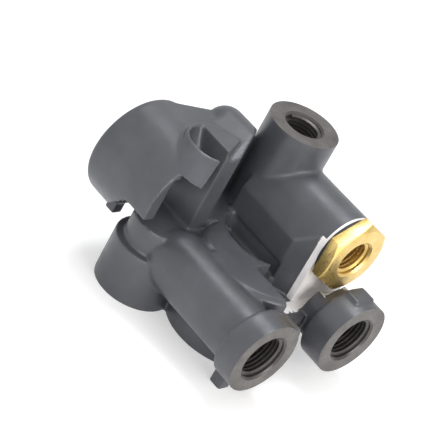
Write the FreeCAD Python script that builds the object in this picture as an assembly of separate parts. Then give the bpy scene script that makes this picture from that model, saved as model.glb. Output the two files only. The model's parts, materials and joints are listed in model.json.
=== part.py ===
import FreeCAD, Part
import math
import os

# Air brake control valve: one die casting with a big piston cylinder, a lower
# valve boss, a relay column, a quick-release hub and a double check tube.
# Millimetres. +Z is up, +X is the way the two large ports face.
# The origin is the centre of the hub's open end, on the surface it rests on.

V = FreeCAD.Vector
os.makedirs("parts", exist_ok=True)

# Driving dimensions of the casting
rowOffset = 21.85          # each row of bores from the middle plane
columnX = -25.8            # lower boss, well and relay column
portFaceX = 32.3
portZ = 19.8
portTubeR = 10.8
leftFlangeR, leftFlangeDepth = 13.6, 8.8
rightFlangeR, rightFlangeDepth = 14.1, 10.0
lugHeight = 5.0

cylinderZ, cylinderR = 38.7, 19.6
cylinderRear, cylinderNear = -52.0, -20.5
bossR, bossTop = 14.0, 18.3
neckR, neckTop = 11.2, 27.5
columnR, columnTop = 12.8, 64.7
hubR, hubTop = 21.5, 30.5
tubeZ, tubeR = 42.2, 12.6
millX, millFloor, ledgeY = 11.5, 20.5, -6.0
pilotR, pilotY, pilotZ = 7.4, 1.3, 54.0
pilotRear = -47.0
coreWallY, coreShoulder, coreBottom = -16.6, 55.0, 6.0
coreRear, coreCornerR = -39.5, 8.0
valleyY = -9.5            # where the slanting valley wall meets the cylinder's end plane
webTop, webThickness, webFront = 58.2, 12.0, -34.0
collarX, collarY, collarR, collarTop = -25.8, -17.5, 11.0, 60.0
skirtX, skirtY, skirtR, skirtFoot = -20.9, -22.4, 12.9, 53.0
collarWall = 1.3
clearR, clearTop = 19.4, 34.5
caveR, caveTop, caveRear = 15.3, 50.2, -35.3
blockWallY, blockBottom = 6.5, 12.0
turnX, stepX, stepY = 2.5, 9.0, 10.0
passageInset = 0.8
pilotPassageX, pilotPassageR = -37.9, 0.9
pocketX, pocketY, pocketR, pocketFloor, pocketEnd = -9.5, 10.8, 15.3, 23.5, 3.0

# Tapped ports: 3/8-18 NPT below, 1/4-18 NPT on top and in the brass cap
largeTapR, largeTapDepth = 8.4, 15.0
smallTapR, smallTapDepth = 6.7, 13.0
mouthChamfer = 0.7
spotR = 15.6

# Bores
pistonBoreR, pistonBoreEnd = 15.2, -37.5
lowerBoreR, lowerBoreTop = 9.8, 23.5
relayBoreR, relayBoreTop = 9.2, 33.0
releaseBoreR, releaseBoreTop = 17.4, 13.5
capBoreR, capBoreEnd = 9.3, -1.0
shuttleBoreR, shuttleBoreEnd = 6.2, -14.2

# Clearances and seals
slideGap = 0.06            # radial, on every piston and stem that slides
looseGap = 0.3             # between pieces that only lie close
sealSection = 2.4          # thickness of the round section rings
ringThickness = 1.1        # internal retaining rings
ringDepth = 1.0            # how far a retaining ring sits in its groove

# Moving pieces
relayTravel, lowerTravel, shuttleTravel = 1.6, 2.0, 3.4
stemR = 3.0


def rod(x, y, z, radius, length, axis):
    return Part.makeCylinder(radius, length, V(x, y, z), axis)


def alongX(x, length, y, z, radius):
    return rod(x, y, z, radius, length, V(1, 0, 0))


def alongZ(z, length, x, y, radius):
    return rod(x, y, z, radius, length, V(0, 0, 1))


def block(x0, x1, y0, y1, z0, z1):
    return Part.makeBox(x1 - x0, y1 - y0, z1 - z0, V(x0, y0, z0))


def prism(points, direction):
    """Close the outline and push it along direction."""
    wire = Part.makePolygon(points + points[:1])
    return Part.Face(wire).extrude(direction)


def tube(start, length, a, b, outer, inner, make):
    return make(start, length, a, b, outer).cut(make(start, length, a, b, inner))


def frustum(z, height, x, y, lowR, highR):
    return Part.makeCone(lowR, highR, height, V(x, y, z), V(0, 0, 1))


def roundSeal(centre, axis, inner, outer):
    section = (outer - inner) / 2
    return Part.makeTorus(inner + section, section, centre, axis)


def retainingRing(centre, axis, grooveR, side):
    """Internal ring: open on one side, with two drilled ears."""
    outer = grooveR
    inner = outer - ringDepth - 1.6
    earR, earHole = 2.1, 0.9
    ring = Part.makeCylinder(outer, ringThickness, centre, axis)
    ring = ring.cut(Part.makeCylinder(inner, ringThickness, centre, axis))
    across = axis.cross(side)
    gap = V(centre) + side * (outer - 2)
    slot = Part.makeCylinder(3.0, ringThickness, gap, axis)
    for turn in (-1, 1):
        ear = centre + side * (inner - 0.4) + across * turn * 3.6
        ring = ring.fuse(Part.makeCylinder(earR, ringThickness, ear, axis))
    ring = ring.cut(slot)
    for turn in (-1, 1):
        ear = centre + side * (inner - 0.4) + across * turn * 3.6
        ring = ring.cut(Part.makeCylinder(earHole, ringThickness, ear, axis))
    return ring.common(Part.makeCylinder(outer, ringThickness, centre, axis))


def coilSpring(centre, axis, meanR, wireR, length, turns):
    """Round wire coil between two planes, its axis through centre."""
    height = length - 2 * wireR
    helix = Part.makeHelix(height / turns, height, meanR)
    section = Part.Wire(Part.makeCircle(wireR, V(meanR, 0, 0), V(0, 1, 0)))
    coil = Part.Wire(helix).makePipeShell([section], True, True)
    coil.translate(V(0, 0, wireR))
    coil.Placement = FreeCAD.Placement(centre, FreeCAD.Rotation(V(0, 0, 1), axis)).multiply(
        coil.Placement)
    return coil


def save(name, shape):
    shape.exportStep("parts/" + name + ".step")
    box = shape.BoundBox
    print(name, "solids", len(shape.Solids), "valid", shape.isValid(),
          "volume %.1f" % shape.Volume,
          "x %.1f..%.1f y %.1f..%.1f z %.1f..%.1f" % (
              box.XMin, box.XMax, box.YMin, box.YMax, box.ZMin, box.ZMax))


leftY, rightY = -rowOffset, rowOffset


# The casting, from its big forms to its bores
def bigCylinder():
    """Piston cylinder with its square lug."""
    cylinder = alongX(cylinderRear, cylinderNear - cylinderRear, leftY, cylinderZ, cylinderR)
    rims = [e for e in cylinder.Edges if e.Length > 1.9 * math.pi * cylinderR
            and e.BoundBox.XMax < cylinderRear + 1]
    cylinder = cylinder.makeFillet(2.0, rims)
    under = cylinderZ - cylinderR
    return cylinder.fuse(block(cylinderRear + 2.4, cylinderRear + 6.8, leftY - 2.2, leftY + 2.2,
                               under - lugHeight, under + 2))


def lowerBoss():
    boss = alongZ(0, bossTop, columnX, leftY, bossR)
    rims = [e for e in boss.Edges if e.Length > 1.9 * math.pi * bossR and e.BoundBox.ZMin > 1]
    return boss.makeFillet(1.2, rims).fuse(alongZ(0, neckTop, columnX, leftY, neckR))


def hub():
    body = alongZ(0, hubTop - 1.5, 0, 0, hubR)
    body = body.fuse(frustum(hubTop - 1.5, 1.5, 0, 0, hubR, hubR - 1.5))
    return body.cut(block(pocketEnd, hubR + 1, ledgeY, hubR, millFloor, columnTop))


def checkTube():
    """Round above its axis, with a flat wall toward the piston side."""
    shape = alongX(columnX, millX - columnX, rightY, tubeZ, tubeR)
    shoulder = math.radians(150)
    wall = prism([V(columnX, blockWallY, blockBottom), V(columnX, blockWallY, tubeZ - 2),
                  V(columnX, rightY + tubeR * math.cos(shoulder), tubeZ + tubeR * math.sin(shoulder)),
                  V(columnX, rightY, tubeZ), V(columnX, rightY + tubeR, tubeZ),
                  V(columnX, rightY + tubeR, blockBottom)], V(millX - columnX, 0, 0))
    # the wall turns back toward the milled face
    below = blockWallY - 1
    turned = prism([V(turnX, below, 0), V(turnX, blockWallY, 0), V(stepX, stepY, 0),
                    V(millX + 1, stepY, 0), V(millX + 1, below, 0)], V(0, 0, columnTop))
    return shape.fuse(wall).cut(turned)


def pilotBoss():
    """Half round ridge with a round nose, on top of the core."""
    base = pilotRear + pilotR
    boss = alongX(base, columnX - base, pilotY, pilotZ, pilotR)
    boss = boss.fuse(Part.makeSphere(pilotR, V(base, pilotY, pilotZ)))
    return boss.fuse(alongZ(neckTop, pilotZ - neckTop, base, pilotY, pilotR))


def core():
    """Upright body between the big cylinder and the relay column."""
    crest = pilotZ + pilotR
    flank = math.radians(70)
    tangentY = pilotY - pilotR * math.cos(flank)
    tangentZ = pilotZ + pilotR * math.sin(flank)
    front = cylinderNear
    body = prism([V(coreRear, coreWallY, coreBottom), V(coreRear, coreWallY, coreShoulder),
                  V(coreRear, tangentY, tangentZ), V(coreRear, pilotY, tangentZ),
                  V(coreRear, rightY, pilotZ - pilotR), V(coreRear, rightY, coreBottom)],
                 V(front - coreRear, 0, 0))
    # the corner beside the nose is rounded
    corner = block(coreRear, coreRear + coreCornerR, coreWallY, coreWallY + coreCornerR,
                   coreBottom, crest)
    corner = corner.cut(alongZ(coreBottom, crest, coreRear + coreCornerR,
                               coreWallY + coreCornerR, coreCornerR))
    foot = prism([V(coreRear, leftY, coreBottom), V(columnX, leftY, coreBottom),
                  V(-13, -12, coreBottom), V(-13, rightY, coreBottom),
                  V(coreRear, pilotY, coreBottom)], V(0, 0, neckTop - coreBottom))
    return body.cut(corner).fuse(foot)


def valley():
    """Open space between the core and the check tube, beside the column's tangent."""
    tangent = math.atan2(-0.549, -0.835)
    end = V(columnX + columnR * math.cos(tangent), rightY + columnR * math.sin(tangent), 0)
    shape = prism([V(cylinderNear + 1, valleyY - 1.5, hubTop), V(end.x, end.y, hubTop),
                   V(columnX, rightY, hubTop), V(millX, rightY, hubTop),
                   V(millX, valleyY - 1.5, hubTop)], V(0, 0, columnTop))
    shape = shape.cut(alongZ(hubTop, columnTop, columnX, rightY, columnR))
    return shape.cut(checkTube())


def web():
    """Level bridge from the big cylinder to the pilot ridge."""
    return prism([V(cylinderRear + 0.8, leftY, webTop), V(pilotRear + 4, pilotY, webTop),
                  V(webFront, pilotY, webTop), V(webFront, leftY, webTop)],
                 V(0, 0, -webThickness))


def scoop(radiusDrop, lift):
    """Slanting cone of the collar; the drop gives its inner wall."""
    foot = Part.Wire(Part.makeCircle(skirtR - radiusDrop, V(skirtX, skirtY, skirtFoot - lift)))
    rim = Part.Wire(Part.makeCircle(collarR - radiusDrop, V(collarX, collarY, collarTop + lift)))
    return Part.makeLoft([foot, rim], True, True)


def collarEnd():
    """What lies past the collar's upright end, on the hub's side."""
    along, across = V(3.5, -6.8, 0), V(6.8, 3.5, 0)
    near = V(cylinderNear, -17.0, 0) - along * 4
    return prism([near, near + along * 8, near + along * 8 + across * 8, near + across * 8],
                 V(0, 0, columnTop))


def castingOuter():
    outer = bigCylinder()
    column = alongZ(0, columnTop, columnX, rightY, columnR)
    for form in (column, hub(), checkTube(), pilotBoss(), core(), web()):
        outer = outer.fuse(form)
    outer = outer.cut(valley())
    outer = outer.fuse(scoop(0, 0).cut(collarEnd()))
    # the hollow under the collar, open at its top and toward the hub
    side = block(caveRear, 0, leftY - caveR - 5, coreWallY, neckTop, columnTop)
    outer = outer.cut(alongZ(neckTop, caveTop - neckTop, columnX, leftY, caveR).common(side))
    outer = outer.cut(scoop(collarWall, 0.01).common(side))
    outer = outer.cut(alongZ(caveTop - 1, skirtFoot + 1.6 - caveTop, skirtX, skirtY,
                             skirtR - collarWall - 0.5).common(side))
    clear = alongZ(bossTop, clearTop - bossTop, columnX, leftY, clearR)
    outer = outer.cut(clear.common(block(columnX - clearR, 0, leftY - clearR, coreWallY,
                                         0, columnTop)))
    outer = outer.fuse(lowerBoss())
    outer = outer.cut(block(millX, portFaceX + 5, ledgeY, 40, millFloor, columnTop))
    return outer.fuse(ports())


def ports():
    """Both large port tubes with their flanges and lugs."""
    rearX = columnX + 12
    tubes = alongX(rearX, portFaceX - 1 - rearX, leftY, portZ, portTubeR)
    tubes = tubes.fuse(Part.makeSphere(portTubeR, V(rearX, leftY, portZ)))
    right = alongX(6, portFaceX - 7, rightY, portZ, portTubeR)
    right = right.cut(block(millX, millX + 4, 0, 40, millFloor, columnTop))
    # round spot face that clears the brass hex
    tubes = tubes.fuse(right.cut(alongX(millX, 7.0, rightY, tubeZ, spotR)))
    for y, radius, depth in ((leftY, leftFlangeR, leftFlangeDepth),
                             (rightY, rightFlangeR, rightFlangeDepth)):
        flange = alongX(portFaceX - depth, depth, y, portZ, radius)
        rims = [e for e in flange.Edges if e.Length > 1.9 * math.pi * radius]
        tubes = tubes.fuse(flange.makeFillet(1.0, rims))
    back = portFaceX - leftFlangeDepth
    foot = block(back - 3.5, back + 1.5, leftY - 2.5, leftY + 2.5, 0, portZ - leftFlangeR + 4)
    ear = alongX(back, leftFlangeDepth - 0.6, leftY + 9.0, portZ + 7.0, 4.0)
    top = portZ + rightFlangeR
    lug = block(portFaceX - rightFlangeDepth + 0.6, portFaceX - 3, rightY - 4.5, rightY + 4.5,
                top - 6, top + 0.9)
    return tubes.fuse(foot).fuse(ear).fuse(lug)


def tappedHole(x, y, z, radius, depth, axis):
    """Mouth at x, y, z; axis points out of it."""
    inward = axis * -1
    hole = rod(x, y, z, radius, depth, inward)
    mouth = Part.makeCone(radius + mouthChamfer, radius, mouthChamfer, V(x, y, z), inward)
    return hole.fuse(mouth)


def ringGroove(start, a, b, boreR, make):
    return make(start, ringThickness + 0.1, a, b, boreR + ringDepth)


def valveBody():
    body = castingOuter()
    pocket = alongZ(pocketFloor, hubTop + 1 - pocketFloor, pocketX, pocketY, pocketR)
    body = body.cut(pocket.common(block(columnX + 3, pocketEnd, -20, blockWallY, 0, columnTop)))

    chamberX = pistonBoreEnd - passageInset
    cuts = [
        tappedHole(portFaceX, leftY, portZ, largeTapR, largeTapDepth, V(1, 0, 0)),
        tappedHole(portFaceX, rightY, portZ, largeTapR, largeTapDepth, V(1, 0, 0)),
        tappedHole(columnX, rightY, columnTop, smallTapR, smallTapDepth, V(0, 0, 1)),
        # big piston bore with its ring groove
        alongX(cylinderRear, pistonBoreEnd - cylinderRear, leftY, cylinderZ, pistonBoreR),
        ringGroove(cylinderRear + 1.2, leftY, cylinderZ, pistonBoreR, alongX),
        # lower valve bore
        alongZ(0, lowerBoreTop, columnX, leftY, lowerBoreR),
        ringGroove(1.2, columnX, leftY, lowerBoreR, alongZ),
        # relay bore
        alongZ(0, relayBoreTop, columnX, rightY, relayBoreR),
        ringGroove(1.2, columnX, rightY, relayBoreR, alongZ),
        # quick-release bore
        alongZ(0, releaseBoreTop, 0, 0, releaseBoreR),
        ringGroove(1.2, 0, 0, releaseBoreR, alongZ),
        # double check bore, its rear end and the way up to the top port
        alongX(capBoreEnd, millX - capBoreEnd, rightY, tubeZ, capBoreR),
        alongX(shuttleBoreEnd, capBoreEnd - shuttleBoreEnd, rightY, tubeZ, shuttleBoreR),
        alongX(columnX - 9, shuttleBoreEnd - columnX + 9, rightY, tubeZ, 4.0),
        alongZ(tubeZ, columnTop - smallTapDepth - tubeZ, columnX, rightY, 3.2),
        # passages: left port to the lower bore, right port to the hub
        alongX(columnX + 7, portFaceX - largeTapDepth - columnX - 7, leftY, portZ - 3, 4.0),
        # from above the lower seat through the core to the relay bore
        rod(columnX, leftY, lowerBoreTop + 0.8, 1.5, rightY - leftY, V(0, 1, 0)),
        alongX(-4, portFaceX - largeTapDepth + 4, rightY, 13.2, 4.2),
        # check bore down to the hub, and down to the relay piston
        rod(-9.5, rightY, tubeZ, 2.0, tubeZ - releaseBoreTop - 3, V(0, -0.32, -1).normalize()),
        alongZ(relayBoreTop - 1, 6, columnX, rightY, 2.2),
        # check bore across to the pilot ridge, and on to the big cylinder
        alongX(chamberX - 3, 8, pilotY, pilotZ - 2, 2.4),
        rod(columnX - 7.5, rightY, tubeZ, pilotPassageR, 5.8, V(-4.6, -3.4, 0).normalize()),
        rod(pilotPassageX, rightY - 3.1, tubeZ, pilotPassageR, rightY - 3.1 - pilotY, V(0, -1, 0)),
        alongZ(tubeZ - 0.5, pilotZ - 2 - tubeZ, pilotPassageX, pilotY, pilotPassageR),
        rod(chamberX, pilotY, pilotZ, 0.7, 19, V(0, -16, -9).normalize()),
    ]
    for cut in cuts:
        body = body.cut(cut)
    return body


# Brass cap with the small port, its washer, and the shuttle behind it
hexFlats, hexThickness = 25.0, 4.8
washerThickness, washerR = 1.1, 12.3
capShankLength = 11.0


def hexPrism(x, thickness, y, z, flats):
    corner = flats / math.sqrt(3)
    points = [V(x, y + corner * math.cos(math.radians(60 * n + 30)),
                z + corner * math.sin(math.radians(60 * n + 30))) for n in range(6)]
    solid = prism(points, V(thickness, 0, 0))
    cone = Part.makeCone(flats * 0.485, flats * 0.485 + thickness * 1.7, thickness,
                         V(x + thickness, y, z), V(-1, 0, 0))
    return solid.common(cone)


def portCap():
    seat = millX + washerThickness
    cap = hexPrism(seat, hexThickness, rightY, tubeZ, hexFlats)
    cap = cap.fuse(alongX(millX - capShankLength, seat - millX + capShankLength, rightY, tubeZ,
                          capBoreR - slideGap))
    face = seat + hexThickness
    cap = cap.cut(tappedHole(face, rightY, tubeZ, smallTapR, smallTapDepth, V(1, 0, 0)))
    return cap.cut(alongX(millX - capShankLength, capShankLength, rightY, tubeZ, 3.4))


def capWasher():
    return tube(millX, washerThickness, rightY, tubeZ, washerR, capBoreR + 0.1, alongX)


shuttleFront = millX - capShankLength - 0.4 - shuttleTravel
shuttleLength = 10.5


def shuttlePieces():
    rear = shuttleFront - shuttleLength
    body = alongX(rear, shuttleLength, rightY, tubeZ, shuttleBoreR - slideGap)
    body = body.cut(tube(rear + 3, shuttleLength - 6, rightY, tubeZ, shuttleBoreR + 1, 3.4, alongX))
    pieces = {"check_shuttle": body}
    for name, x, way in (("front", shuttleFront, -1), ("rear", rear, 1)):
        start = min(x, x + way * 1.4)
        body = body.cut(alongX(start, 1.4, rightY, tubeZ, 4.3))
        pieces["shuttle_seal_" + name] = alongX(start, 1.4, rightY, tubeZ, 4.3)
    pieces["check_shuttle"] = body
    return pieces


# Big control piston, its spring and the rear cover
ringX = cylinderRear + 1.2
coverFront = ringX + ringThickness + 0.1
coverThickness = 3.4
pistonThickness = 3.6
pistonFront = pistonBoreEnd - looseGap - 1.3
pistonRear = pistonFront - pistonThickness
springPocketR, springPocketDepth = 7.2, 1.8


def rearCover():
    cover = alongX(coverFront, coverThickness, leftY, cylinderZ, pistonBoreR - slideGap)
    cover = cover.fuse(alongX(cylinderRear - 1.6, coverFront - cylinderRear + 1.6, leftY, cylinderZ,
                              springPocketR + 1.8))
    groove = tube(coverFront + 0.5, sealSection, leftY, cylinderZ, pistonBoreR + 1,
                  pistonBoreR - sealSection, alongX)
    cover = cover.cut(groove)
    cover = cover.cut(alongX(cylinderRear - 0.2, 10, leftY, cylinderZ, springPocketR))
    for turn in (0, 1, 2):
        angle = math.radians(120 * turn + 90)
        cover = cover.cut(alongX(cylinderRear - 2, 9, leftY + 4.6 * math.cos(angle),
                                 cylinderZ + 4.6 * math.sin(angle), 0.9))
    return cover


def controlPiston():
    piston = alongX(pistonRear, pistonThickness, leftY, cylinderZ, pistonBoreR - slideGap)
    piston = piston.cut(tube(pistonRear + 0.6, sealSection, leftY, cylinderZ, pistonBoreR + 1,
                             pistonBoreR - sealSection, alongX))
    piston = piston.cut(alongX(pistonRear, springPocketDepth, leftY, cylinderZ, springPocketR))
    return piston.fuse(alongX(pistonFront, 1.3, leftY, cylinderZ, 5.0))


# Stacks that open downward: lower valve, relay and quick-release hub
capSeat = 1.2 + ringThickness + 0.1
plugThickness = 4.4


def bottomPlug(x, y, boreR):
    plug = alongZ(capSeat, plugThickness, x, y, boreR - slideGap)
    return plug.cut(tube(capSeat + 1.0, sealSection, x, y, boreR + 1, boreR - sealSection, alongZ))


def bottomSeal(x, y, boreR):
    z = capSeat + 1.0 + sealSection / 2
    return roundSeal(V(x, y, z), V(0, 0, 1), boreR - sealSection, boreR - 0.02)


def lowerPlug():
    plug = bottomPlug(columnX, leftY, lowerBoreR)
    plug = plug.fuse(alongZ(capSeat + plugThickness, 5.5, columnX, leftY, stemR + 1.6))
    plug = plug.cut(alongZ(capSeat + 1.4, 12, columnX, leftY, stemR + slideGap))
    socket = hexSocket(columnX, leftY, capSeat, 0.9)
    return plug.cut(socket)


def hexSocket(x, y, z, depth):
    points = [V(x + 3.4 * math.cos(math.radians(60 * n)), y + 3.4 * math.sin(math.radians(60 * n)), z)
              for n in range(6)]
    return prism(points, V(0, 0, depth))


lowerSeatZ = 21.6


def lowerPoppet():
    """Guided stem with a disc that closes against the seat above."""
    top = lowerSeatZ - looseGap
    stemFoot = capSeat + 1.4 + looseGap + lowerTravel
    poppet = alongZ(top - 3.4, 3.4, columnX, leftY, 7.4)
    return poppet.fuse(alongZ(stemFoot, top - 3.4 - stemFoot, columnX, leftY, stemR))


def lowerSeat():
    """Pressed ring the poppet closes on."""
    return tube(lowerSeatZ, lowerBoreTop - lowerSeatZ, columnX, leftY, lowerBoreR, 4.4, alongZ)


relaySeatZ = 18.5


def relayCover():
    cover = bottomPlug(columnX, rightY, relayBoreR)
    cover = cover.fuse(alongZ(capSeat + plugThickness, 4.0, columnX, rightY, 5.6))
    return cover.cut(alongZ(0, 14, columnX, rightY, stemR + 1 + slideGap))


def relayValve():
    """Hollow stem and disc; air leaves through its middle."""
    top = relaySeatZ - looseGap
    disc = alongZ(top - 3.2, 3.2, columnX, rightY, 6.8)
    stem = alongZ(capSeat + relayTravel + looseGap, top - 3.2 - capSeat - relayTravel - looseGap,
                  columnX, rightY, stemR + 1)
    return disc.fuse(stem).cut(alongZ(0, relaySeatZ, columnX, rightY, 2.2))


def relaySeat():
    return tube(relaySeatZ, 3.0, columnX, rightY, relayBoreR, 5.0, alongZ)


def relayPiston():
    """Its nose passes through the seat and closes the hollow valve."""
    head = 6.4
    top = relayBoreTop - looseGap
    piston = alongZ(top - head, head, columnX, rightY, relayBoreR - slideGap)
    piston = piston.cut(tube(top - head + 2.0, sealSection, columnX, rightY, relayBoreR + 1,
                             relayBoreR - sealSection, alongZ))
    nose = alongZ(relaySeatZ, top - head - relaySeatZ, columnX, rightY, 3.6)
    return piston.fuse(nose)


def relayPistonSeal():
    z = relayBoreTop - looseGap - 6.4 + 2.0 + sealSection / 2
    return roundSeal(V(columnX, rightY, z), V(0, 0, 1), relayBoreR - sealSection, relayBoreR - 0.03)


releaseRimZ = capSeat + plugThickness
diaphragmThickness = 2.6


def releaseCover():
    cover = bottomPlug(0, 0, releaseBoreR)
    cover = cover.fuse(tube(releaseRimZ, 1.2, 0, 0, 6.2, 4.6, alongZ))
    cover = cover.cut(alongZ(0, 14, 0, 0, 4.6))
    return cover.cut(tube(0, capSeat + 1.4, 0, 0, 12.4, 6.4, alongZ))


def releaseDiaphragm():
    z = releaseRimZ + 1.2 + looseGap
    disc = alongZ(z, diaphragmThickness, 0, 0, releaseBoreR - slideGap)
    return disc.makeFillet(0.5, disc.Edges)


def exhaustScreen():
    """Round mesh disc held in the exhaust hole."""
    screen = alongZ(capSeat + 0.6, 0.8, 0, 0, 4.6)
    for row in range(-2, 3):
        for column in range(-2, 3):
            if row * row + column * column < 6:
                screen = screen.cut(alongZ(0, 6, 1.5 * row, 1.5 * column, 0.5))
    return screen


def main():
    save("valve_body", valveBody())
    save("port_cap", portCap())
    save("cap_washer", capWasher())
    for name, shape in shuttlePieces().items():
        save(name, shape)

    save("rear_cover", rearCover())
    save("control_piston", controlPiston())
    back, way = V(ringX, leftY, cylinderZ), V(1, 0, 0)
    save("rear_cover_ring", retainingRing(back, way, pistonBoreR + ringDepth - 0.05, V(0, 0, -1)))
    save("rear_cover_seal", roundSeal(V(coverFront + 0.5 + sealSection / 2, leftY, cylinderZ), way,
                                      pistonBoreR - sealSection, pistonBoreR - 0.02))
    save("control_piston_seal", roundSeal(V(pistonRear + 0.6 + sealSection / 2, leftY, cylinderZ),
                                          way, pistonBoreR - sealSection, pistonBoreR - 0.03))
    springRear = cylinderRear - 0.2 + looseGap
    springFront = pistonRear + springPocketDepth - looseGap
    save("control_spring", coilSpring(V(springRear, leftY, cylinderZ), way, 5.6, 0.7,
                                      springFront - springRear, 5))

    save("lower_plug", lowerPlug())
    save("lower_plug_seal", bottomSeal(columnX, leftY, lowerBoreR))
    save("lower_poppet", lowerPoppet())
    save("lower_seat", lowerSeat())
    save("relay_cover", relayCover())
    save("relay_cover_seal", bottomSeal(columnX, rightY, relayBoreR))
    save("relay_valve", relayValve())
    save("relay_seat", relaySeat())
    save("relay_piston", relayPiston())
    save("relay_piston_seal", relayPistonSeal())
    save("release_cover", releaseCover())
    save("release_cover_seal", bottomSeal(0, 0, releaseBoreR))
    save("release_diaphragm", releaseDiaphragm())
    save("exhaust_screen", exhaustScreen())

    up = V(0, 0, 1)
    for name, x, y, boreR in (("lower_plug_ring", columnX, leftY, lowerBoreR),
                              ("relay_cover_ring", columnX, rightY, relayBoreR),
                              ("release_cover_ring", 0, 0, releaseBoreR)):
        save(name, retainingRing(V(x, y, 1.2), up, boreR + ringDepth - 0.05, V(0, 1, 0)))

    plugTop = capSeat + plugThickness + looseGap
    discUnder = lowerSeatZ - looseGap - 3.4 - looseGap
    save("lower_spring", coilSpring(V(columnX, leftY, plugTop), up, 6.2, 0.6, discUnder - plugTop, 4))
    valveUnder = relaySeatZ - looseGap - 3.2 - looseGap
    save("relay_spring", coilSpring(V(columnX, rightY, plugTop), up, 6.5, 0.55,
                                    valveUnder - plugTop, 3))


main()
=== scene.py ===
import json
import math
import bpy
from mathutils import Matrix, Vector


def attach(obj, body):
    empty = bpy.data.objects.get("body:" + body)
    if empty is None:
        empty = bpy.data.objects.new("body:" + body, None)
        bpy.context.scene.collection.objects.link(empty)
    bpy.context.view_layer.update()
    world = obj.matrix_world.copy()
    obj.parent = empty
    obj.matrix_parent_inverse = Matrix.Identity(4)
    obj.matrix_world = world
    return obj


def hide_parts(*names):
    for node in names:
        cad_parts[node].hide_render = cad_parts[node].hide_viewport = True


# Air brake control valve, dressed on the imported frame. Sizes are in millimetres.
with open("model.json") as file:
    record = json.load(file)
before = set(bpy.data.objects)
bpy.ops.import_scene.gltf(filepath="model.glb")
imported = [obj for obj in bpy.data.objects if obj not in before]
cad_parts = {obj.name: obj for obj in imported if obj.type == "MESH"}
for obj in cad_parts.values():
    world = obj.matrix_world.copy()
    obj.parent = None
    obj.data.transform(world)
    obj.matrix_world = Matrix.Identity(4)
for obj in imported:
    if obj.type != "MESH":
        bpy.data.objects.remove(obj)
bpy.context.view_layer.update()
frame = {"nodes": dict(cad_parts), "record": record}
mm = 0.001
print("frame loaded, nodes:", len(frame["nodes"]))


# Modelling helpers
def clearSelection():
    if bpy.context.object and bpy.context.object.mode != "OBJECT":
        bpy.ops.object.mode_set(mode="OBJECT")
    bpy.ops.object.select_all(action="DESELECT")


def pick(piece):
    clearSelection()
    piece.select_set(True)
    bpy.context.view_layer.objects.active = piece


def settle(piece):
    pick(piece)
    bpy.ops.object.transform_apply(location=True, rotation=True, scale=True)
    return piece


def addRod(start, end, radius, endRadius=None, sides=128):
    line = Vector(end) - Vector(start)
    middle = (Vector(end) + Vector(start)) / 2
    clearSelection()
    bpy.ops.mesh.primitive_cone_add(vertices=sides, radius1=radius * mm, depth=line.length * mm,
                                    radius2=(radius if endRadius is None else endRadius) * mm,
                                    location=middle * mm)
    rod = bpy.context.object
    rod.rotation_mode = "QUATERNION"
    rod.rotation_quaternion = line.to_track_quat("Z", "Y")
    return settle(rod)


def addBlock(x0, x1, y0, y1, z0, z1):
    clearSelection()
    bpy.ops.mesh.primitive_cube_add(
        size=1, location=((x0 + x1) * mm / 2, (y0 + y1) * mm / 2, (z0 + z1) * mm / 2),
        scale=((x1 - x0) * mm, (y1 - y0) * mm, (z1 - z0) * mm))
    return settle(bpy.context.object)


def addBall(centre, radius):
    clearSelection()
    bpy.ops.mesh.primitive_uv_sphere_add(segments=96, ring_count=48, radius=radius * mm,
                                         location=Vector(centre) * mm)
    return settle(bpy.context.object)


# A flat outline, pushed along a direction
def addPrism(points, direction):
    clearSelection()
    bpy.ops.mesh.primitive_circle_add(vertices=len(points), radius=mm, fill_type="NGON")
    prism = bpy.context.object
    for vertex, point in zip(prism.data.vertices, points):
        vertex.co = Vector(point) * mm
    bpy.ops.object.mode_set(mode="EDIT")
    bpy.ops.mesh.select_all(action="SELECT")
    bpy.ops.mesh.extrude_region_move(TRANSFORM_OT_translate={"value": Vector(direction) * mm})
    bpy.ops.mesh.select_all(action="SELECT")
    bpy.ops.mesh.normals_make_consistent(inside=False)
    bpy.ops.object.mode_set(mode="OBJECT")
    return prism


def applyModifier(piece, kind, **settings):
    pick(piece)
    modifier = piece.modifiers.new(kind.title(), kind)
    for key, value in settings.items():
        setattr(modifier, key, value)
    bpy.ops.object.modifier_apply(modifier=modifier.name)
    return piece


def combine(piece, tool, operation):
    applyModifier(piece, "BOOLEAN", object=tool, operation=operation, solver="MANIFOLD")
    bpy.data.objects.remove(tool)
    if not piece.data.polygons:
        raise RuntimeError("nothing is left of " + piece.name)
    return piece


def fuse(piece, *tools):
    for tool in tools:
        combine(piece, tool, "UNION")
    return piece


def cut(piece, *tools):
    for tool in tools:
        combine(piece, tool, "DIFFERENCE")
    return piece


def keepCommon(piece, tool):
    return combine(piece, tool, "INTERSECT")


def nameAs(piece, name):
    piece.name = name
    piece.data.name = name
    return piece


def shadeByAngle(piece, degrees):
    pick(piece)
    bpy.ops.object.shade_smooth_by_angle(angle=math.radians(degrees))


def dress(piece, *finishes):
    piece.data.materials.clear()
    for finish in finishes:
        piece.data.materials.append(finish)


# Node helpers for the finishes, which all follow the piece's own coordinates
def newFinish(name):
    material = bpy.data.materials.new(name)
    material.use_nodes = True
    tree = material.node_tree
    place = tree.nodes.new("ShaderNodeTexCoord")
    return material, tree, tree.nodes["Principled BSDF"], place.outputs["Object"]


def noise(tree, vector, scale, detail=3.0, roughness=0.55):
    node = tree.nodes.new("ShaderNodeTexNoise")
    node.inputs["Scale"].default_value = scale
    node.inputs["Detail"].default_value = detail
    node.inputs["Roughness"].default_value = roughness
    tree.links.new(vector, node.inputs["Vector"])
    return node.outputs["Fac"]


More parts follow.
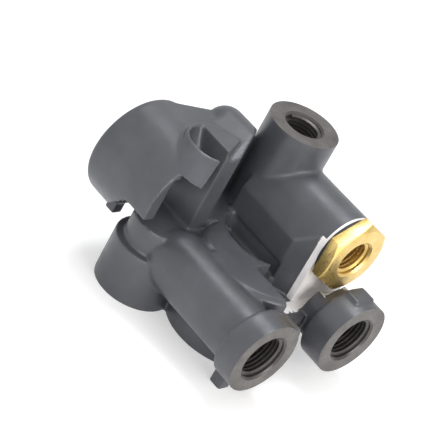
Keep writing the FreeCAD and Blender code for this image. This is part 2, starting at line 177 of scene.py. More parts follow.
def ramp(tree, value, stops):
    node = tree.nodes.new("ShaderNodeValToRGB")
    band = node.color_ramp
    while len(band.elements) < len(stops):
        band.elements.new(0.5)
    for element, (position, colour) in zip(band.elements, stops):
        element.position = position
        element.color = (*colour, 1) if isinstance(colour, tuple) else (colour, colour, colour, 1)
    tree.links.new(value, node.inputs["Fac"])
    return node.outputs["Color"]


def bump(tree, shader, height, strength, distance):
    node = tree.nodes.new("ShaderNodeBump")
    node.inputs["Strength"].default_value = strength
    node.inputs["Distance"].default_value = distance
    tree.links.new(height, node.inputs["Height"])
    tree.links.new(node.outputs["Normal"], shader.inputs["Normal"])


# The dark casting: blotchy satin with a fine cast grain
castLook = {
    "dark": (0.060, 0.062, 0.070), "light": (0.082, 0.085, 0.096), "metallic": 0.15,
    "smooth": 0.30, "rough": 0.46, "blotchScale": 70, "sheenScale": 260,
    "grainSize": 0.45, "grainStrength": 0.16, "grainHeight": 0.00012,
}


def makeCastFinish():
    look = castLook
    material, tree, shader, place = newFinish("castSatin")
    blotch = noise(tree, place, look["blotchScale"], 5)
    tree.links.new(ramp(tree, blotch, [(0.32, look["dark"]), (0.7, look["light"])]),
                   shader.inputs["Base Color"])
    sheen = noise(tree, place, look["sheenScale"], 4)
    tree.links.new(ramp(tree, sheen, [(0.3, look["smooth"]), (0.75, look["rough"])]),
                   shader.inputs["Roughness"])
    shader.inputs["Metallic"].default_value = look["metallic"]
    grain = noise(tree, place, 1000 / look["grainSize"], 4, 0.6)
    bump(tree, shader, grain, look["grainStrength"], look["grainHeight"])
    return material


# Turned and milled faces: grooves is how tight the tool marks are along each axis
machinedLooks = {
    "machinedFace": {"dark": (0.085, 0.078, 0.074), "light": (0.145, 0.135, 0.128), "rough": 0.42,
                     "metallic": 0.7, "grooves": (300, 900, 900), "strength": 0.25},
    "milledBright": {"dark": (0.78, 0.76, 0.76), "light": (0.92, 0.90, 0.90), "rough": 0.45,
                     "metallic": 0.1, "grooves": (200, 200, 2500), "strength": 0.3},
    # the bore finish is machinedFace at about half its brightness: painted shade for the insides of the bores and
    # their threads
    "borePaintedShade": {"dark": (0.045, 0.042, 0.040), "light": (0.085, 0.079, 0.075), "rough": 0.38,
                 "metallic": 0.5, "grooves": (3000, 200, 3000), "strength": 0.3},
    "machinedBrass": {"dark": (0.62, 0.43, 0.13), "light": (0.80, 0.60, 0.24), "rough": 0.32,
                      "metallic": 0.85, "grooves": (2500, 300, 300), "strength": 0.12},
    "platedSteel": {"dark": (0.36, 0.36, 0.37), "light": (0.55, 0.55, 0.56), "rough": 0.32,
                    "metallic": 1.0, "grooves": (900, 900, 900), "strength": 0.12},
    "turnedAluminium": {"dark": (0.52, 0.53, 0.55), "light": (0.68, 0.69, 0.71), "rough": 0.34,
                        "metallic": 0.95, "grooves": (1800, 600, 600), "strength": 0.15},
}


def makeMachinedFinish(name):
    look = machinedLooks[name]
    material, tree, shader, place = newFinish(name)
    tree.links.new(ramp(tree, noise(tree, place, 180, 4), [(0.3, look["dark"]), (0.72, look["light"])]),
                   shader.inputs["Base Color"])
    rough = look["rough"]
    tree.links.new(ramp(tree, noise(tree, place, 900, 3), [(0.3, rough - 0.08), (0.75, rough + 0.1)]),
                   shader.inputs["Roughness"])
    shader.inputs["Metallic"].default_value = look["metallic"]
    stretch = tree.nodes.new("ShaderNodeMapping")
    stretch.inputs["Scale"].default_value = look["grooves"]
    tree.links.new(place, stretch.inputs["Vector"])
    bump(tree, shader, noise(tree, stretch.outputs["Vector"], 1.0, 3), look["strength"], 0.00008)
    return material


# Rubber and moulded plastic
softLooks = {
    "nitrileRubber": {"dark": (0.014, 0.014, 0.015), "light": (0.030, 0.030, 0.031),
                      "rough": 0.62, "grain": 2600},
    "acetalWhite": {"dark": (0.62, 0.61, 0.57), "light": (0.74, 0.73, 0.69),
                    "rough": 0.45, "grain": 1800},
}


def makeSoftFinish(name):
    look = softLooks[name]
    material, tree, shader, place = newFinish(name)
    tree.links.new(ramp(tree, noise(tree, place, 300, 4), [(0.3, look["dark"]), (0.7, look["light"])]),
                   shader.inputs["Base Color"])
    rough = look["rough"]
    tree.links.new(ramp(tree, noise(tree, place, 800, 3), [(0.3, rough - 0.06), (0.7, rough + 0.06)]),
                   shader.inputs["Roughness"])
    bump(tree, shader, noise(tree, place, look["grain"], 4), 0.12, 0.0001)
    return material


castFinish = makeCastFinish()
machinedFinish = makeMachinedFinish("machinedFace")
milledFinish = makeMachinedFinish("milledBright")
boreShadeFinish = makeMachinedFinish("borePaintedShade")
brassFinish = makeMachinedFinish("machinedBrass")
steelFinish = makeMachinedFinish("platedSteel")
turnedFinish = makeMachinedFinish("turnedAluminium")
rubberFinish = makeSoftFinish("nitrileRubber")
acetalFinish = makeSoftFinish("acetalWhite")
print("finishes made")


# Where the rows, tubes and faces of the casting lie
casting = {
    "rowLeft": -21.85, "rowRight": 21.85, "columnX": -25.8, "portFace": 32.3, "portZ": 19.8,
    "cylinderRear": -52.0, "cylinderFront": -20.5, "cylinderZ": 38.7, "cylinderR": 19.6,
    "cylinderRim": 1.6,
    "bossR": 14.0, "bossTop": 18.3, "neckR": 11.2, "neckTop": 27.5,
    "columnR": 12.8, "columnTop": 64.7, "hubR": 21.5, "hubTop": 30.5, "hubChamfer": 1.5,
    "tubeZ": 42.2, "tubeR": 12.6, "blockWall": 6.5, "blockFoot": 12.0, "blockShoulder": 150,
    "turnX": 2.5, "stepX": 9.0, "stepY": 10.0,
    "pilotR": 7.4, "pilotY": 1.3, "pilotZ": 54.0, "pilotRear": -47.0,
    "coreRear": -39.5, "coreWall": -16.6, "coreShoulder": 55.0, "coreFoot": 6.0, "coreCorner": 8.0,
    "coreFlank": 70, "bridgeFront": -13.0, "bridgeY": -12.0,
    "valleyY": -9.5, "webTop": 58.2, "webFront": -34.0, "webThickness": 12.0,
    "rim": (-25.8, -17.5, 60.0), "rimR": 11.0, "skirt": (-20.9, -22.4, 53.0), "skirtR": 12.9,
    "collarWall": 1.3, "collarEndY": -17.0, "collarAlong": (3.5, -6.8, 0), "collarAcross": (6.8, 3.5, 0),
    "caveR": 15.3, "caveTop": 50.2, "caveRear": -35.3,
    "clearR": 19.4, "clearTop": 34.5, "clearRear": 18.6,
    "millX": 11.5, "millFloor": 20.5, "ledgeY": -6.0, "spotR": 15.6,
    "pocket": (-9.5, 10.8), "pocketR": 15.3, "pocketFloor": 23.5, "pocketEnd": 3.0,
    "portTubeR": 10.8, "leftFlangeR": 13.6, "leftFlangeDepth": 8.8,
    "rightFlangeR": 14.1, "rightFlangeDepth": 10.0,
    "voxel": 0.5, "smoothing": 10, "triangles": 170000, "overshoot": 0.9, "smoothAngle": 32,
}


# The rim that lies in one plane across an axis is rounded
def roundRim(piece, axis, place, width):
    pick(piece)
    bpy.ops.object.mode_set(mode="EDIT")
    bpy.ops.mesh.select_mode(type="EDGE")
    bpy.ops.mesh.select_all(action="DESELECT")
    bpy.ops.object.mode_set(mode="OBJECT")
    points = piece.data.vertices
    for edge in piece.data.edges:
        edge.select = all(abs(points[v].co[axis] / mm - place) < 0.01 for v in edge.vertices)
    bpy.ops.object.mode_set(mode="EDIT")
    bpy.ops.mesh.bevel(offset=width * mm, segments=6, profile=0.5)
    bpy.ops.object.mode_set(mode="OBJECT")


# The collar's slanting cone: a straight one with its top ring pushed over
def addScoop(drop, lift):
    c = casting
    sx, sy, sz = c["skirt"]
    rx, ry, rz = c["rim"]
    cone = addRod((sx, sy, sz - lift), (sx, sy, rz + lift), c["skirtR"] - drop, c["rimR"] - drop)
    bpy.ops.object.mode_set(mode="EDIT")
    bpy.ops.mesh.select_all(action="DESELECT")
    bpy.ops.object.mode_set(mode="OBJECT")
    middle = (sz + rz) / 2 * mm
    for vertex in cone.data.vertices:
        vertex.select = vertex.co.z > middle
    bpy.ops.object.mode_set(mode="EDIT")
    bpy.ops.transform.translate(value=((rx - sx) * mm, (ry - sy) * mm, 0))
    bpy.ops.object.mode_set(mode="OBJECT")
    return cone


# The sloping core under the ridge, with its rounded rear corner and the bridge to the hub
def addCore():
    c = casting
    flank = math.radians(c["coreFlank"])
    tangentY = c["pilotY"] - c["pilotR"] * math.cos(flank)
    tangentZ = c["pilotZ"] + c["pilotR"] * math.sin(flank)
    rear, foot, right, cornerR = c["coreRear"], c["coreFoot"], c["rowRight"], c["coreCorner"]
    core = addPrism([(rear, c["coreWall"], foot), (rear, c["coreWall"], c["coreShoulder"]),
                     (rear, tangentY, tangentZ), (rear, c["pilotY"], tangentZ),
                     (rear, right, c["pilotZ"] - c["pilotR"]), (rear, right, foot)],
                    (c["cylinderFront"] - rear, 0, 0))
    corner = addBlock(rear - 1, rear + cornerR, c["coreWall"] - 1, c["coreWall"] + cornerR, foot - 1, 70)
    centre = (rear + cornerR, c["coreWall"] + cornerR)
    cut(corner, addRod((*centre, foot - 2), (*centre, 71), cornerR))
    cut(core, corner)
    left, column, front = c["rowLeft"], c["columnX"], c["bridgeFront"]
    bridge = addPrism([(rear, left, foot), (column, left, foot), (front, c["bridgeY"], foot),
                       (front, right, foot), (rear, right, foot), (rear, c["pilotY"], foot)],
                      (0, 0, c["neckTop"] - foot))
    return fuse(core, bridge)


# The check tube with the block beside it
def addCheckTube():
    c = casting
    x0, x1, y, z = c["columnX"], c["millX"] + c["overshoot"], c["rowRight"], c["tubeZ"]
    wall, foot, out = c["blockWall"], c["blockFoot"], c["rowRight"] + c["tubeR"] - 0.01
    tube = addRod((x0, y, z), (x1, y, z), c["tubeR"])
    rise = math.radians(c["blockShoulder"])
    shoulder = (y + c["tubeR"] * math.cos(rise), z + c["tubeR"] * math.sin(rise))
    fuse(tube, addPrism([(x0, wall, foot), (x0, wall, z - 2), (x0, *shoulder), (x0, y, z),
                         (x0, out, z), (x0, out, foot)], (x1 - x0, 0, 0)))
    # the wall turns back beside the milled face
    turn, step, stepY, past = c["turnX"], c["stepX"], c["stepY"], c["millX"] + 2.5
    return cut(tube, addPrism([(turn, wall - 1, 5), (turn, wall, 5), (step, stepY, 5), (past, stepY, 5),
                               (past, wall - 1, 5)], (0, 0, 50)))


# The open space between the core and the check tube
def addValley():
    c = casting
    turn = math.atan2(-0.549, -0.835)
    column, right, radius = c["columnX"], c["rowRight"], c["columnR"]
    end = (column + radius * math.cos(turn), right + radius * math.sin(turn))
    top, near = c["hubTop"], c["valleyY"] - 1.5
    space = addPrism([(c["cylinderFront"] + 1, near, top), (*end, top), (column, right, top),
                      (c["millX"], right, top), (c["millX"], near, top)], (0, 0, 66))
    cut(space, addRod((column, right, top - 1), (column, right, 99), radius))
    return cut(space, addCheckTube())


# Both large port tubes with their flanges and lugs
def addPorts():
    c = casting
    z, face, over = c["portZ"], c["portFace"], c["overshoot"]
    left, right = c["rowLeft"], c["rowRight"]
    rear = c["columnX"] + 12
    tubes = addRod((rear, left, z), (face - 1, left, z), c["portTubeR"])
    fuse(tubes, addBall((rear, left, z), c["portTubeR"] - 0.01))
    other = addRod((6, right, z), (face - 1, right, z), c["portTubeR"])
    cut(other, addBlock(c["millX"], c["millX"] + 4, 0, 40, c["millFloor"], 70))
    cut(other, addRod((c["millX"], right, c["tubeZ"]), (c["millX"] + 7, right, c["tubeZ"]), c["spotR"]))
    fuse(tubes, other)
    for y, radius, depth in ((left, c["leftFlangeR"], c["leftFlangeDepth"]),
                             (right, c["rightFlangeR"], c["rightFlangeDepth"])):
        fuse(tubes, addRod((face - depth, y, z), (face + over, y, z), radius))
    # foot and side boss of the left flange, and the lug on the right one
    back = face - c["leftFlangeDepth"]
    fuse(tubes, addBlock(back - 3.5, back + 1.5, left - 2.5, left + 2.5, -over, z - c["leftFlangeR"] + 4))
    fuse(tubes, addRod((back, left + 9, z + 7), (face - 0.6, left + 9, z + 7), 4.0, sides=64))
    top = z + c["rightFlangeR"]
    lugBack = face - c["rightFlangeDepth"] + 0.6
    return fuse(tubes, addBlock(lugBack, face - 3, right - 4.5, right + 4.5, top - 6, top + 0.9))


# The big cylinder with its foot, and the hub
def addCylinderAndHub():
    c = casting
    left, rear, front, z, over = c["rowLeft"], c["cylinderRear"], c["cylinderFront"], c["cylinderZ"], c["overshoot"]
    outer = addRod((rear, left, z), (front, left, z), c["cylinderR"])
    roundRim(outer, 0, rear, c["cylinderRim"])
    under = z - c["cylinderR"]
    fuse(outer, addBlock(rear + 2.4, rear + 6.8, left - 2.2, left + 2.2, under - 5, under + 2))
    fuse(outer, addRod((c["columnX"], c["rowRight"], -over), (c["columnX"], c["rowRight"], c["columnTop"] + over),
                       c["columnR"]))
    slope = c["hubChamfer"]
    hub = addRod((0, 0, -over), (0, 0, c["hubTop"] - slope), c["hubR"])
    fuse(hub, addRod((0, 0, c["hubTop"] - slope - 0.1), (0, 0, c["hubTop"]), c["hubR"] + 0.1, c["hubR"] - slope))
    return fuse(outer, cut(hub, addBlock(c["pocketEnd"], 30, c["ledgeY"], 30, c["millFloor"], 70)))


# The ridge over the core, with the web from it to the big cylinder
def addRidgeAndWeb(outer):
    c = casting
    base, y, z, radius = c["pilotRear"] + c["pilotR"], c["pilotY"], c["pilotZ"], c["pilotR"]
    ridge = addRod((base, y, z), (c["columnX"], y, z), radius)
    fuse(ridge, addBall((base, y, z), radius - 0.01), addRod((base, y, c["neckTop"]), (base, y, z), radius - 0.02))
    fuse(outer, ridge, addCore())
    web, left = c["webTop"], c["rowLeft"]
    fuse(outer, addPrism([(c["cylinderRear"] + 0.8, left, web), (c["pilotRear"] + 4, y, web),
                          (c["webFront"], y, web), (c["webFront"], left, web)], (0, 0, -c["webThickness"])))


# The collar, and the hollow that it stands over in the core's side
def addCollarAndHollow(outer):
    c = casting
    left, column = c["rowLeft"], c["columnX"]
    along, across = Vector(c["collarAlong"]), Vector(c["collarAcross"])
    near = Vector((c["cylinderFront"], c["collarEndY"], 0)) - along * 4
    beyond = addPrism([near, near + along * 8, near + along * 8 + across * 8, near + across * 8], (0, 0, 70))
    fuse(outer, cut(addScoop(0, 0), beyond))
    reach = c["caveR"] + 5
    sideBlock = (c["caveRear"], 0, left - reach, c["coreWall"], c["neckTop"], 75)
    cave = addRod((column, left, c["neckTop"]), (column, left, c["caveTop"]), c["caveR"])
    cut(outer, keepCommon(cave, addBlock(*sideBlock)))
    cut(outer, keepCommon(addScoop(c["collarWall"], 0.6), addBlock(*sideBlock)))
    x, y, z = c["skirt"]
    way = addRod((x, y, c["caveTop"] - 1), (x, y, z + 0.7), c["skirtR"] - c["collarWall"] - 0.5)
    cut(outer, keepCommon(way, addBlock(*sideBlock)))
    clear = addRod((column, left, c["bossTop"]), (column, left, c["clearTop"]), c["clearR"])
    cut(outer, keepCommon(clear, addBlock(column - c["clearRear"], 0, left - 25, c["coreWall"], 0, 70)))


# The recess in the hub's top, under the check tube's wall
def addPocket(outer):
    c = casting
    x, y = c["pocket"]
    column, end, wall, floor = c["columnX"], c["pocketEnd"], c["blockWall"], c["pocketFloor"]
    pocket = addRod((x, y, floor), (x, y, c["hubTop"] + 1), c["pocketR"])
    cut(outer, keepCommon(pocket, addBlock(column + 3, end, -20, wall + 0.02, 0, 70)))
    cut(outer, addBlock(column + 4, end - 0.6, wall - 1, wall + 1, floor + 0.2, c["hubTop"] - 0.6))


# The casting's outer form, still with sharp creases
def addOuter():
    c = casting
    left, column = c["rowLeft"], c["columnX"]
    outer = addCylinderAndHub()
    fuse(outer, addCheckTube())
    addRidgeAndWeb(outer)
    cut(outer, addValley())
    addCollarAndHollow(outer)
    boss = addRod((column, left, -c["overshoot"]), (column, left, c["bossTop"]), c["bossR"])
    fuse(outer, fuse(boss, addRod((column, left, 5), (column, left, c["neckTop"]), c["neckR"])))
    addPocket(outer)
    cut(outer, addBlock(c["millX"] + c["overshoot"], 40, c["ledgeY"], 40, c["millFloor"], 75))
    return fuse(outer, addPorts())


# Bores and passages, by radius, depth and the place where each one ends
boring = {
    "largeR": 8.4, "largeDepth": 15.0, "smallR": 6.7, "smallDepth": 13.0, "flare": 0.72, "flareDepth": 0.7,
    "cylinderR": 15.2, "cylinderEnd": -37.5, "relayR": 9.8, "relayEnd": 23.5, "lowerR": 9.2, "lowerEnd": 33.0,
    "releaseR": 17.4, "releaseEnd": 13.5, "ringGroove": 1.0, "ringFrom": 1.2, "ringTo": 2.4,
    "capR": 9.3, "capEnd": -1.0, "shuttleR": 6.2, "shuttleEnd": -14.2, "seatR": 4.0, "seatEnd": -34.8,
    "topWayR": 3.2, "topWayEnd": 52.0, "leftWayR": 4.0, "crossR": 1.5, "crossZ": 24.3,
    "rightWayR": 4.2, "rightWayX": -4.0, "rightWayZ": 13.2, "lowerWayR": 2.2, "lowerWayEnd": 38.0,
}


# Every bore and passage as one tool
def borings():
    c, b = casting, boring
    left, right, column, face = c["rowLeft"], c["rowRight"], c["columnX"], c["portFace"]
    port, tube, cyl, rear, top = c["portZ"], c["tubeZ"], c["cylinderZ"], c["cylinderRear"], c["columnTop"]
    deep, way = face - b["largeDepth"], face - b["largeDepth"] + 0.1
    start, end, groove = b["ringFrom"], b["ringTo"], b["ringGroove"]
    rods = []
    for y in (left, right):
        rods += [((face + 1, y, port), (deep, y, port), b["largeR"]),
                 ((face + 0.02, y, port), (face - b["flareDepth"], y, port), b["largeR"] + b["flare"], b["largeR"])]
    rods += [((column, right, top + 1), (column, right, top - b["smallDepth"]), b["smallR"]),
             ((column, right, top + 0.02), (column, right, top - b["flareDepth"]),
              b["smallR"] + b["flare"], b["smallR"]),
             ((rear - 2, left, cyl), (b["cylinderEnd"], left, cyl), b["cylinderR"]),
             ((rear + start, left, cyl), (rear + end, left, cyl), b["cylinderR"] + groove)]
    for x, y, radius, stop in ((column, left, b["relayR"], b["relayEnd"]), (column, right, b["lowerR"], b["lowerEnd"]),
                               (0, 0, b["releaseR"], b["releaseEnd"])):
        rods += [((x, y, -2), (x, y, stop), radius), ((x, y, start), (x, y, end), radius + groove)]
    rods += [((b["capEnd"], right, tube), (13, right, tube), b["capR"]),
             ((b["shuttleEnd"], right, tube), (b["capEnd"] + 0.1, right, tube), b["shuttleR"]),
             ((b["seatEnd"], right, tube), (b["shuttleEnd"] + 0.1, right, tube), b["seatR"]),
             ((column, right, tube), (column, right, b["topWayEnd"]), b["topWayR"]),
             ((column + 7, left, port - 3), (way, left, port - 3), b["leftWayR"]),
             ((column, left, b["crossZ"]), (column, right, b["crossZ"]), b["crossR"]),
             ((b["rightWayX"], right, b["rightWayZ"]), (way, right, b["rightWayZ"]), b["rightWayR"]),
             ((column, right, b["lowerEnd"] - 0.5), (column, right, b["lowerWayEnd"]), b["lowerWayR"])]
    tool = addRod(*rods[0], sides=96)
    for rod in rods[1:]:
        fuse(tool, addRod(*rod, sides=96))
    return tool


# Which finish a face of the casting has, by its place
castSlot, machinedSlot, milledSlot, boreShadeSlot = 0, 1, 2, 3


def finishOf(centre, normal):
    c = casting
    x, y, z = centre / mm
    near, mill, floor = 0.03, c["millX"], c["millFloor"]
    if abs(x - c["portFace"]) < near or abs(z - c["columnTop"]) < near or abs(z) < near:
        return machinedSlot
    if abs(x - c["cylinderRear"]) < near:
        return machinedSlot
    if abs(x - mill) < near and normal.x > 0.9 and z > floor - near:
        return milledSlot
    if abs(z - floor) < near and normal.z > 0.9 and mill - 0.5 < x < mill + 4.5:
        return milledSlot
    if c["stepX"] < x < mill + 0.1 and abs(y - c["stepY"]) < 0.25 and normal.y < -0.8 and z > floor:
        return milledSlot
    fromTube = math.hypot(y - c["rowRight"], z - c["tubeZ"])
    if mill - 0.1 < x < 19 and abs(fromTube - c["spotR"]) < 0.1:
        return milledSlot
    if mill - 0.6 < x < mill + 0.1 and 11.9 < fromTube < 12.7:
        return milledSlot
    # the port, top and cylinder bores take the darkened machined copy: painted shade in these recesses
    for rowY in (c["rowLeft"], c["rowRight"]):
        if x > 17 and math.hypot(y - rowY, z - c["portZ"]) < 9.2:
            return boreShadeSlot
    if z > 40 and math.hypot(x - c["columnX"], y - c["rowRight"]) < 7.5:
        return boreShadeSlot
    if x < -37 and math.hypot(y - c["rowLeft"], z - c["cylinderZ"]) < 16.3:
        return boreShadeSlot
    return castSlot


def makeCasting():
    c = casting
    skin = nameAs(addOuter(), "castingSkin")
    print("outer form:", len(skin.data.polygons), "faces")
    # remeshing and smoothing turn the sharp creases into cast fillets
    applyModifier(skin, "REMESH", mode="VOXEL", voxel_size=c["voxel"] * mm, use_smooth_shade=True)
    applyModifier(skin, "SMOOTH", factor=0.5, iterations=c["smoothing"])
    print("skin:", len(skin.data.polygons), "faces")
    applyModifier(skin, "TRIANGULATE")
    applyModifier(skin, "DECIMATE", ratio=min(1.0, c["triangles"] / len(skin.data.polygons)))
    # then the faces and bores are cut sharp
    face, top, rear, floor = c["portFace"], c["columnTop"], c["cylinderRear"], c["millFloor"]
    cut(skin, addBlock(face, face + 9, -60, 60, -20, 90), addBlock(-60, 0, 0, 50, top, top + 9),
        addBlock(-70, 50, -60, 60, -9, 0), addBlock(rear - 9, rear, -60, 60, -9, 90),
        addBlock(c["millX"], c["millX"] + 4, c["ledgeY"], 42, floor, 70),
        addBlock(c["stepX"], 13, 0, c["stepY"], floor, 44))
    cut(skin, borings())
    shadeByAngle(skin, c["smoothAngle"])
    dress(skin, castFinish, machinedFinish, milledFinish, boreShadeFinish)
    for polygon in skin.data.polygons:
        polygon.material_index = finishOf(polygon.center, polygon.normal)
    print("casting done:", len(skin.data.polygons), "faces")
    return skin


castingSkin = makeCasting()
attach(castingSkin, "housing")
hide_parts("valve_body")


# Brass hex cap
hexCap = {
    "flats": 25.0, "seat": 12.6, "thickness": 4.8, "shankR": 9.24, "shankStart": 0.5,
    "boreR": 6.7, "boreDepth": 13.0, "flare": 0.7, "passageR": 3.4, "edge": 0.22,
    "coneEnd": 0.485, "coneSpread": 1.7,
}

# Thread ridges inside the plain tapped bores
threads = {"pitch": 1.411, "largeR": 8.46, "largeMinor": 7.45, "largeDepth": 13.0,
           "smallR": 6.76, "smallMinor": 5.75, "smallDepth": 11.5, "crest": 0.22, "base": 1.22,
           "start": 1.3}


def addThread(name, mouth, axis, size, finish):
    t = threads
    outerR, innerR, depth = t[size + "R"], t[size + "Minor"], t[size + "Depth"]
    clearSelection()
    bpy.ops.mesh.primitive_circle_add(vertices=4, radius=mm, fill_type="NOTHING")
    ridge = nameAs(bpy.context.object, name)
    section = [(outerR, -t["base"] / 2), (innerR, -t["crest"] / 2), (innerR, t["crest"] / 2), (outerR, t["base"] / 2)]
    for vertex, (radius, height) in zip(ridge.data.vertices, section):
        vertex.co = Vector((radius, 0, height)) * mm
    applyModifier(ridge, "SCREW", axis="Z", angle=2 * math.pi, iterations=int(depth / t["pitch"]),
                  screw_offset=t["pitch"] * mm, steps=96, render_steps=96, use_merge_vertices=True,
                  merge_threshold=1e-6)
    bpy.ops.object.mode_set(mode="EDIT")
    bpy.ops.mesh.select_all(action="SELECT")
    bpy.ops.mesh.fill_holes(sides=0)
    bpy.ops.mesh.select_all(action="SELECT")
    bpy.ops.mesh.normals_make_consistent(inside=False)
    bpy.ops.object.mode_set(mode="OBJECT")
    ridge.rotation_mode = "QUATERNION"
    ridge.rotation_quaternion = Vector(axis).to_track_quat("Z", "Y")
    ridge.location = (Vector(mouth) + Vector(axis) * t["start"]) * mm
    settle(ridge)
    shadeByAngle(ridge, 30)
    dress(ridge, finish)
    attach(ridge, "housing")


def makeThreads():
    c = casting
    face, right = c["portFace"], c["rowRight"]
    capFace = hexCap["seat"] + hexCap["thickness"]
    # the three bore threads take the same darkened copy: painted shade inside the bores
    addThread("leftThread", (face, c["rowLeft"], c["portZ"]), (-1, 0, 0), "large", boreShadeFinish)
    addThread("rightThread", (face, right, c["portZ"]), (-1, 0, 0), "large", boreShadeFinish)
    addThread("topThread", (c["columnX"], right, c["columnTop"]), (0, 0, -1), "small", boreShadeFinish)
    addThread("capThread", (capFace, right, c["tubeZ"]), (-1, 0, 0), "small", brassFinish)
    print("threads done")


def makeHexCap():
    h = hexCap
    y, z = casting["rowRight"], casting["tubeZ"]
    seat, face = h["seat"], h["seat"] + h["thickness"]
    cap = addRod((seat, y, z), (face, y, z), h["flats"] / math.sqrt(3), sides=6)
    pick(cap)
    # one corner is turned to the top
    corner = max(cap.data.vertices, key=lambda vertex: vertex.co.z)
    turn = math.atan2(corner.co.y - y * mm, corner.co.z - z * mm)
    cap.data.transform(Matrix.Translation(Vector((0, y, z)) * mm)
                       @ Matrix.Rotation(turn, 4, "X") @ Matrix.Translation(Vector((0, -y, -z)) * mm))
    coneR = h["flats"] * h["coneEnd"]
    keepCommon(cap, addRod((seat, y, z), (face, y, z), coneR + h["thickness"] * h["coneSpread"], coneR))
    applyModifier(cap, "BEVEL", width=h["edge"] * mm, segments=2, limit_method="ANGLE",
                  angle_limit=math.radians(25))
    fuse(cap, addRod((h["shankStart"], y, z), (seat + 1, y, z), h["shankR"]))
    cut(cap, addRod((face + 1, y, z), (face - h["boreDepth"], y, z), h["boreR"]),
        addRod((face + 0.01, y, z), (face - h["flare"], y, z), h["boreR"] + h["flare"], h["boreR"]),
        addRod((-1, y, z), (face - 1, y, z), h["passageR"]))
    nameAs(cap, "hexPortCap")
    shadeByAngle(cap, 24)
    dress(cap, brassFinish)
    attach(cap, "housing")
    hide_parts("port_cap")


# Thin washer between the cap and the casting
sealWasher = {"outerR": 12.3, "innerR": 9.4, "thickness": 1.1, "edge": 0.18}


def makeWasher():
    w = sealWasher
    y, z, x = casting["rowRight"], casting["tubeZ"], casting["millX"]
    washer = addRod((x, y, z), (x + w["thickness"], y, z), w["outerR"])
    cut(washer, addRod((x - 1, y, z), (x + 2, y, z), w["innerR"]))
    applyModifier(washer, "BEVEL", width=w["edge"] * mm, segments=2, limit_method="ANGLE",
                  angle_limit=math.radians(40))
    nameAs(washer, "sealWasher")
    shadeByAngle(washer, 30)
    dress(washer, rubberFinish)
    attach(washer, "housing")
    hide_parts("cap_washer")


makeThreads()
makeHexCap()
makeWasher()
print("cap and washer done")

# Inner pieces keep their solids and get their finishes
innerFinish = {
    "aluminium": turnedFinish, "brass": brassFinish, "steel": steelFinish,
    "acetal": acetalFinish, "rubber": rubberFinish,
}


def dressInnerPieces():
    for part in frame["record"]["subparts"]:
        finish = innerFinish.get(part["material_slot"])
        if finish is None or part["node"] == "port_cap":
            continue
        for slot in frame["nodes"][part["node"]].material_slots:
            slot.material = finish
    print("inner pieces dressed")


dressInnerPieces()

# Camera at the photograph's place and angle
view = {
    "place": (285.9, -471.7, 350.0), "lens": 160.8, "sensor": 36.0,
    "right": (0.594, 0.681, 0.428), "up": (-0.648, 0.09, 0.756), "back": (0.477, -0.726, 0.495),
}


def makeCamera():
    data = bpy.data.cameras.new("camera")
    camera = bpy.data.objects.new("camera", data)
    bpy.context.scene.collection.objects.link(camera)
    data.sensor_fit = "HORIZONTAL"
    data.sensor_width = view["sensor"]
    data.lens = view["lens"]
    data.clip_start = 0.01
    turn = Matrix((Vector(view["right"]), Vector(view["up"]), Vector(view["back"]))).transposed().to_4x4()
    camera.matrix_world = Matrix.Translation(Vector(view["place"]) * mm) @ turn
    bpy.context.scene.camera = camera
    print("camera set")


makeCamera()

# White background and pale floor, both brighter to the camera than to the part
studio = {"floorSize": 4.0, "floorColour": (0.86, 0.86, 0.86), "floorRough": 0.6, "floorLift": 0.30,
          "worldOnPart": 0.55, "worldSeen": 1.0}


# One for camera, glossy and transmission rays, and nought for the rest
def onlyForRays(tree):
    path = tree.nodes.new("ShaderNodeLightPath")
    result = path.outputs["Is Camera Ray"]
    for kind in ("Is Glossy Ray", "Is Transmission Ray"):
        either = tree.nodes.new("ShaderNodeMath")
        either.operation = "MAXIMUM"
        tree.links.new(result, either.inputs[0])
        tree.links.new(path.outputs[kind], either.inputs[1])
        result = either.outputs["Value"]
    return result


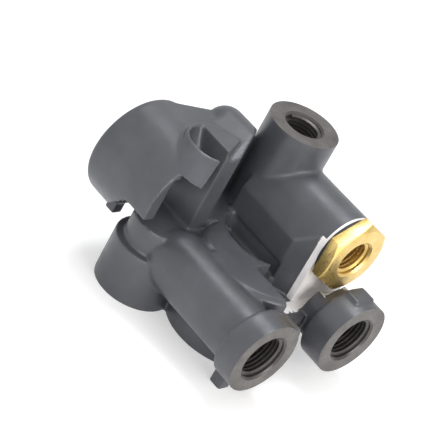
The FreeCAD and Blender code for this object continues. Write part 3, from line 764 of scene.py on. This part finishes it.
def makeFloor():
    clearSelection()
    bpy.ops.mesh.primitive_plane_add(size=studio["floorSize"])
    floor = nameAs(bpy.context.object, "floor")
    material, tree, shader, _ = newFinish("paleFloor")
    shader.inputs["Base Color"].default_value = (*studio["floorColour"], 1)
    shader.inputs["Roughness"].default_value = studio["floorRough"]
    shader.inputs["Emission Color"].default_value = (1, 1, 1, 1)
    lift = tree.nodes.new("ShaderNodeMath")
    lift.operation = "MULTIPLY"
    lift.inputs[1].default_value = studio["floorLift"]
    tree.links.new(onlyForRays(tree), lift.inputs[0])
    tree.links.new(lift.outputs["Value"], shader.inputs["Emission Strength"])
    floor.data.materials.append(material)
    print("floor laid")


makeFloor()

# Lamps: place and size in metres, power in watts
lampTarget = (-0.01, 0, 0.03)
lamps = {
    "topLamp": {"place": (-0.20, 0.10, 0.80), "size": 0.35, "power": 3.2, "colour": (0.94, 0.97, 1.0)},
    "frontLamp": {"place": (0.30, -0.75, 0.45), "size": 0.45, "power": 3.2, "colour": (1.0, 0.99, 0.98)},
    "rightLamp": {"place": (0.75, -0.10, 0.30), "size": 0.45, "power": 4.0, "colour": (1.0, 0.97, 0.95)},
}


def makeLamps():
    for name, facts in lamps.items():
        data = bpy.data.lights.new(name, "AREA")
        data.size = facts["size"]
        data.energy = facts["power"]
        data.color = facts["colour"]
        lamp = bpy.data.objects.new(name, data)
        bpy.context.scene.collection.objects.link(lamp)
        lamp.location = facts["place"]
        aim = Vector(lampTarget) - Vector(facts["place"])
        lamp.rotation_euler = aim.to_track_quat("-Z", "Y").to_euler()
    print("lamps placed")


makeLamps()


def makeWorld():
    world = bpy.data.worlds.new("studio")
    bpy.context.scene.world = world
    world.use_nodes = True
    tree = world.node_tree
    background = tree.nodes["Background"]
    background.inputs["Color"].default_value = (1, 1, 1, 1)
    level = tree.nodes.new("ShaderNodeMix")
    level.data_type = "FLOAT"
    level.inputs["A"].default_value = studio["worldOnPart"]
    level.inputs["B"].default_value = studio["worldSeen"]
    tree.links.new(onlyForRays(tree), level.inputs["Factor"])
    tree.links.new(level.outputs["Result"], background.inputs["Strength"])
    print("world lit")


makeWorld()
bpy.context.scene.view_settings.view_transform = "Standard"
